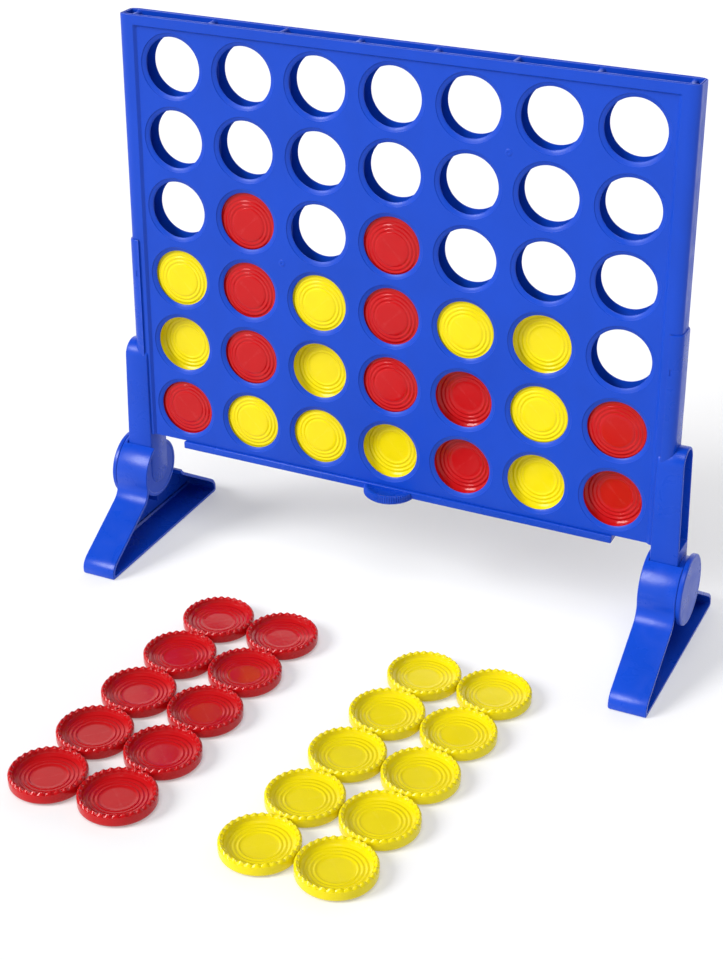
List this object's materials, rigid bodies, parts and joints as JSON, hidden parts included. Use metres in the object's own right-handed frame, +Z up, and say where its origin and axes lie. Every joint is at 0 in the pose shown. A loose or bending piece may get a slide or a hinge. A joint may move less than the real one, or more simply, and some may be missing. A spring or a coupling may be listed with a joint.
{
  "type": "giant four in a row game",
  "caption": "Upright plastic connect-in-a-line game grid on two folding feet, with a sliding release bar below and round toothed discs in the slots and on the ground.",
  "frame": {"origin": "on the ground under the middle of the whole set, halfway between the front of the loose discs and the back of the feet", "axes": "+Z up; +X to the right along the grid, seen from the side that faces the loose discs; +Y from the loose discs towards the grid"},
  "size_m": [0.5064, 0.4642, 0.4667],
  "materials": {
    "board_blue": "satin moulded blue plastic with fine flow marks and gate marks",
    "leg_blue": "satin moulded blue plastic, a little duller than the grid",
    "bar_blue": "satin moulded blue plastic",
    "disc_red": "glossy moulded red plastic",
    "disc_yellow": "glossy moulded yellow plastic"
  },
  "bodies": {
    "grid": {"front_panel": "board_blue", "back_panel": "board_blue", "side_channel_left": "board_blue", "side_channel_right": "board_blue", "column_divider_1": "board_blue", "column_divider_2": "board_blue", "column_divider_3": "board_blue", "column_divider_4": "board_blue", "column_divider_5": "board_blue", "column_divider_6": "board_blue", "arm_left": "leg_blue", "arm_right": "leg_blue", "pivot_pin_left": "leg_blue", "pivot_pin_right": "leg_blue"},
    "release_bar": {"release_bar": "bar_blue"},
    "foot_left": {"foot_left": "leg_blue"},
    "foot_right": {"foot_right": "leg_blue"},
    "disc_c1_r6_red": {"disc_c1_r6_red": "disc_red"},
    "disc_c1_r5_yellow": {"disc_c1_r5_yellow": "disc_yellow"},
    "disc_c1_r4_yellow": {"disc_c1_r4_yellow": "disc_yellow"},
    "disc_c2_r6_yellow": {"disc_c2_r6_yellow": "disc_yellow"},
    "disc_c2_r5_red": {"disc_c2_r5_red": "disc_red"},
    "disc_c2_r4_red": {"disc_c2_r4_red": "disc_red"},
    "disc_c2_r3_red": {"disc_c2_r3_red": "disc_red"},
    "disc_c3_r6_yellow": {"disc_c3_r6_yellow": "disc_yellow"},
    "disc_c3_r5_yellow": {"disc_c3_r5_yellow": "disc_yellow"},
    "disc_c3_r4_yellow": {"disc_c3_r4_yellow": "disc_yellow"},
    "disc_c4_r6_yellow": {"disc_c4_r6_yellow": "disc_yellow"},
    "disc_c4_r5_red": {"disc_c4_r5_red": "disc_red"},
    "disc_c4_r4_red": {"disc_c4_r4_red": "disc_red"},
    "disc_c4_r3_red": {"disc_c4_r3_red": "disc_red"},
    "disc_c5_r6_red": {"disc_c5_r6_red": "disc_red"},
    "disc_c5_r5_red": {"disc_c5_r5_red": "disc_red"},
    "disc_c5_r4_yellow": {"disc_c5_r4_yellow": "disc_yellow"},
    "disc_c6_r6_yellow": {"disc_c6_r6_yellow": "disc_yellow"},
    "disc_c6_r5_yellow": {"disc_c6_r5_yellow": "disc_yellow"},
    "disc_c6_r4_yellow": {"disc_c6_r4_yellow": "disc_yellow"},
    "disc_c7_r6_red": {"disc_c7_r6_red": "disc_red"},
    "disc_c7_r5_red": {"disc_c7_r5_red": "disc_red"},
    "loose_disc_red_01": {"loose_disc_red_01": "disc_red"},
    "loose_disc_red_02": {"loose_disc_red_02": "disc_red"},
    "loose_disc_red_03": {"loose_disc_red_03": "disc_red"},
    "loose_disc_red_04": {"loose_disc_red_04": "disc_red"},
    "loose_disc_red_05": {"loose_disc_red_05": "disc_red"},
    "loose_disc_red_06": {"loose_disc_red_06": "disc_red"},
    "loose_disc_red_07": {"loose_disc_red_07": "disc_red"},
    "loose_disc_red_08": {"loose_disc_red_08": "disc_red"},
    "loose_disc_red_09": {"loose_disc_red_09": "disc_red"},
    "loose_disc_red_10": {"loose_disc_red_10": "disc_red"},
    "loose_disc_yellow_01": {"loose_disc_yellow_01": "disc_yellow"},
    "loose_disc_yellow_02": {"loose_disc_yellow_02": "disc_yellow"},
    "loose_disc_yellow_03": {"loose_disc_yellow_03": "disc_yellow"},
    "loose_disc_yellow_04": {"loose_disc_yellow_04": "disc_yellow"},
    "loose_disc_yellow_05": {"loose_disc_yellow_05": "disc_yellow"},
    "loose_disc_yellow_06": {"loose_disc_yellow_06": "disc_yellow"},
    "loose_disc_yellow_07": {"loose_disc_yellow_07": "disc_yellow"},
    "loose_disc_yellow_08": {"loose_disc_yellow_08": "disc_yellow"},
    "loose_disc_yellow_09": {"loose_disc_yellow_09": "disc_yellow"},
    "loose_disc_yellow_10": {"loose_disc_yellow_10": "disc_yellow"}
  },
  "joints": [
    {"name": "release_bar_slide", "type": "slide", "parent": "grid", "child": "release_bar", "axis": [1, 0, 0], "range_m": [-0.031, 0.031]},
    {"name": "fold_foot_left", "type": "hinge", "parent": "grid", "child": "foot_left", "pos_m": [-0.23, 0.14358, 0.065], "axis": [1, 0, 0], "range_deg": [0, 90]},
    {"name": "fold_foot_right", "type": "hinge", "parent": "grid", "child": "foot_right", "pos_m": [0.23, 0.14358, 0.065], "axis": [1, 0, 0], "range_deg": [0, 90]},
    {"name": "slot_c1_r6_lift", "type": "slide", "parent": "grid", "child": "disc_c1_r6_red", "axis": [0, 0, 1], "range_m": [0, 0.059]},
    {"name": "slot_c1_r5_lift", "type": "slide", "parent": "disc_c1_r6_red", "child": "disc_c1_r5_yellow", "axis": [0, 0, 1], "range_m": [0, 0.059]},
    {"name": "slot_c1_r4_lift", "type": "slide", "parent": "disc_c1_r5_yellow", "child": "disc_c1_r4_yellow", "axis": [0, 0, 1], "range_m": [0, 0.2565]},
    {"name": "slot_c2_r6_lift", "type": "slide", "parent": "grid", "child": "disc_c2_r6_yellow", "axis": [0, 0, 1], "range_m": [0, 0.059]},
    {"name": "slot_c2_r5_lift", "type": "slide", "parent": "disc_c2_r6_yellow", "child": "disc_c2_r5_red", "axis": [0, 0, 1], "range_m": [0, 0.059]},
    {"name": "slot_c2_r4_lift", "type": "slide", "parent": "disc_c2_r5_red", "child": "disc_c2_r4_red", "axis": [0, 0, 1], "range_m": [0, 0.059]},
    {"name": "slot_c2_r3_lift", "type": "slide", "parent": "disc_c2_r4_red", "child": "disc_c2_r3_red", "axis": [0, 0, 1], "range_m": [0, 0.1987]},
    {"name": "slot_c3_r6_lift", "type": "slide", "parent": "grid", "child": "disc_c3_r6_yellow", "axis": [0, 0, 1], "range_m": [0, 0.059]},
    {"name": "slot_c3_r5_lift", "type": "slide", "parent": "disc_c3_r6_yellow", "child": "disc_c3_r5_yellow", "axis": [0, 0, 1], "range_m": [0, 0.059]},
    {"name": "slot_c3_r4_lift", "type": "slide", "parent": "disc_c3_r5_yellow", "child": "disc_c3_r4_yellow", "axis": [0, 0, 1], "range_m": [0, 0.2565]},
    {"name": "slot_c4_r6_lift", "type": "slide", "parent": "grid", "child": "disc_c4_r6_yellow", "axis": [0, 0, 1], "range_m": [0, 0.059]},
    {"name": "slot_c4_r5_lift", "type": "slide", "parent": "disc_c4_r6_yellow", "child": "disc_c4_r5_red", "axis": [0, 0, 1], "range_m": [0, 0.059]},
    {"name": "slot_c4_r4_lift", "type": "slide", "parent": "disc_c4_r5_red", "child": "disc_c4_r4_red", "axis": [0, 0, 1], "range_m": [0, 0.059]},
    {"name": "slot_c4_r3_lift", "type": "slide", "parent": "disc_c4_r4_red", "child": "disc_c4_r3_red", "axis": [0, 0, 1], "range_m": [0, 0.1987]},
    {"name": "slot_c5_r6_lift", "type": "slide", "parent": "grid", "child": "disc_c5_r6_red", "axis": [0, 0, 1], "range_m": [0, 0.059]},
    {"name": "slot_c5_r5_lift", "type": "slide", "parent": "disc_c5_r6_red", "child": "disc_c5_r5_red", "axis": [0, 0, 1], "range_m": [0, 0.059]},
    {"name": "slot_c5_r4_lift", "type": "slide", "parent": "disc_c5_r5_red", "child": "disc_c5_r4_yellow", "axis": [0, 0, 1], "range_m": [0, 0.2565]},
    {"name": "slot_c6_r6_lift", "type": "slide", "parent": "grid", "child": "disc_c6_r6_yellow", "axis": [0, 0, 1], "range_m": [0, 0.059]},
    {"name": "slot_c6_r5_lift", "type": "slide", "parent": "disc_c6_r6_yellow", "child": "disc_c6_r5_yellow", "axis": [0, 0, 1], "range_m": [0, 0.059]},
    {"name": "slot_c6_r4_lift", "type": "slide", "parent": "disc_c6_r5_yellow", "child": "disc_c6_r4_yellow", "axis": [0, 0, 1], "range_m": [0, 0.2565]},
    {"name": "slot_c7_r6_lift", "type": "slide", "parent": "grid", "child": "disc_c7_r6_red", "axis": [0, 0, 1], "range_m": [0, 0.059]},
    {"name": "slot_c7_r5_lift", "type": "slide", "parent": "disc_c7_r6_red", "child": "disc_c7_r5_red", "axis": [0, 0, 1], "range_m": [0, 0.3142]},
    {"name": "spare_red_01_lift", "type": "slide", "parent": "grid", "child": "loose_disc_red_01", "axis": [0, 0, 1], "range_m": [0, 0.08]},
    {"name": "spare_red_02_lift", "type": "slide", "parent": "grid", "child": "loose_disc_red_02", "axis": [0, 0, 1], "range_m": [0, 0.08]},
    {"name": "spare_red_03_lift", "type": "slide", "parent": "grid", "child": "loose_disc_red_03", "axis": [0, 0, 1], "range_m": [0, 0.08]},
    {"name": "spare_red_04_lift", "type": "slide", "parent": "grid", "child": "loose_disc_red_04", "axis": [0, 0, 1], "range_m": [0, 0.08]},
    {"name": "spare_red_05_lift", "type": "slide", "parent": "grid", "child": "loose_disc_red_05", "axis": [0, 0, 1], "range_m": [0, 0.08]},
    {"name": "spare_red_06_lift", "type": "slide", "parent": "grid", "child": "loose_disc_red_06", "axis": [0, 0, 1], "range_m": [0, 0.08]},
    {"name": "spare_red_07_lift", "type": "slide", "parent": "grid", "child": "loose_disc_red_07", "axis": [0, 0, 1], "range_m": [0, 0.08]},
    {"name": "spare_red_08_lift", "type": "slide", "parent": "grid", "child": "loose_disc_red_08", "axis": [0, 0, 1], "range_m": [0, 0.08]},
    {"name": "spare_red_09_lift", "type": "slide", "parent": "grid", "child": "loose_disc_red_09", "axis": [0, 0, 1], "range_m": [0, 0.08]},
    {"name": "spare_red_10_lift", "type": "slide", "parent": "grid", "child": "loose_disc_red_10", "axis": [0, 0, 1], "range_m": [0, 0.08]},
    {"name": "spare_yellow_01_lift", "type": "slide", "parent": "grid", "child": "loose_disc_yellow_01", "axis": [0, 0, 1], "range_m": [0, 0.08]},
    {"name": "spare_yellow_02_lift", "type": "slide", "parent": "grid", "child": "loose_disc_yellow_02", "axis": [0, 0, 1], "range_m": [0, 0.08]},
    {"name": "spare_yellow_03_lift", "type": "slide", "parent": "grid", "child": "loose_disc_yellow_03", "axis": [0, 0, 1], "range_m": [0, 0.08]},
    {"name": "spare_yellow_04_lift", "type": "slide", "parent": "grid", "child": "loose_disc_yellow_04", "axis": [0, 0, 1], "range_m": [0, 0.08]},
    {"name": "spare_yellow_05_lift", "type": "slide", "parent": "grid", "child": "loose_disc_yellow_05", "axis": [0, 0, 1], "range_m": [0, 0.08]},
    {"name": "spare_yellow_06_lift", "type": "slide", "parent": "grid", "child": "loose_disc_yellow_06", "axis": [0, 0, 1], "range_m": [0, 0.08]},
    {"name": "spare_yellow_07_lift", "type": "slide", "parent": "grid", "child": "loose_disc_yellow_07", "axis": [0, 0, 1], "range_m": [0, 0.08]},
    {"name": "spare_yellow_08_lift", "type": "slide", "parent": "grid", "child": "loose_disc_yellow_08", "axis": [0, 0, 1], "range_m": [0, 0.08]},
    {"name": "spare_yellow_09_lift", "type": "slide", "parent": "grid", "child": "loose_disc_yellow_09", "axis": [0, 0, 1], "range_m": [0, 0.08]},
    {"name": "spare_yellow_10_lift", "type": "slide", "parent": "grid", "child": "loose_disc_yellow_10", "axis": [0, 0, 1], "range_m": [0, 0.08]}
  ]
}
